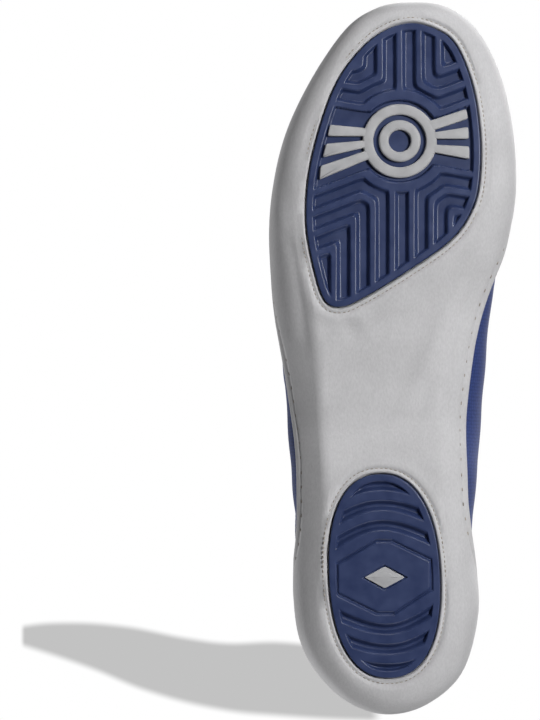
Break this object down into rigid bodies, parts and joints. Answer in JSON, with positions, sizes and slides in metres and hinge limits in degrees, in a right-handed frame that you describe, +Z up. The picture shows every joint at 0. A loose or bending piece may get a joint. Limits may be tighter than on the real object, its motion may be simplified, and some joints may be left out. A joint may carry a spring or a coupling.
{
  "type": "boxing boot",
  "caption": "Right mid-height boxing boot: light grey suede wrap sole with two navy rubber tread pods and a pivot ring, blue mesh upper, padded collar, tongue and criss-cross lace.",
  "frame": {"origin": "centre of the bounding box in x and y, on the floor under the tread", "axes": "+Z up, toe towards -Y, heel towards +Y, medial side of this right boot towards +X"},
  "size_m": [0.0996, 0.2876, 0.1975],
  "materials": {
    "suede": "napped suede",
    "navy_rubber": "satin moulded",
    "grey_rubber": "satin moulded",
    "blue_mesh": "knitted mesh",
    "blue_leather": "smooth grained",
    "grey_leather": "smooth grained",
    "lining": "brushed textile",
    "foam": "open cell foam",
    "fibreboard": "pressed fibre",
    "plastic": "matte moulded",
    "metal": "nickel plated",
    "lace_cord": "braided"
  },
  "bodies": {
    "boot": {"sole_wrap": "suede", "forefoot_pod": "navy_rubber", "heel_pod": "navy_rubber", "pivot_ring_outer": "grey_rubber", "pivot_ring_inner": "grey_rubber", "heel_badge": "grey_rubber", "midsole_forefoot": "foam", "midsole_heel": "foam", "shank": "plastic", "lasting_board": "fibreboard", "sockliner": "lining", "quarter_medial": "blue_mesh", "quarter_lateral": "blue_mesh", "vamp": "blue_mesh", "toe_puff": "plastic", "heel_counter": "plastic", "collar_padding": "foam", "collar_lining": "lining", "backstay": "grey_leather", "eyestay_medial": "grey_leather", "eyestay_lateral": "grey_leather", "tongue": "lining", "lace": "lace_cord", "lace_keeper": "blue_leather", "aglet_1": "plastic", "aglet_2": "plastic", "eyelet_medial_1": "metal", "eyelet_medial_2": "metal", "eyelet_medial_3": "metal", "eyelet_medial_4": "metal", "eyelet_medial_5": "metal", "eyelet_medial_6": "metal", "eyelet_medial_7": "metal", "eyelet_lateral_1": "metal", "eyelet_lateral_2": "metal", "eyelet_lateral_3": "metal", "eyelet_lateral_4": "metal", "eyelet_lateral_5": "metal", "eyelet_lateral_6": "metal", "eyelet_lateral_7": "metal"},
    "flap": {"tongue_flap": "lining"},
    "tab": {"pull_tab": "blue_leather"}
  },
  "joints": [
    {"name": "tongue_fold", "type": "hinge", "parent": "boot", "child": "flap", "pos_m": [-0.003, 0.03346, 0.16003], "axis": [1, 0, 0], "range_deg": [-5, 85], "stiffness_Nm_per_rad": 0.02},
    {"name": "tab_fold", "type": "hinge", "parent": "boot", "child": "tab", "pos_m": [-0.003, 0.12402, 0.14623], "axis": [-1, 0, 0], "range_deg": [0, 80], "stiffness_Nm_per_rad": 0.01}
  ]
}
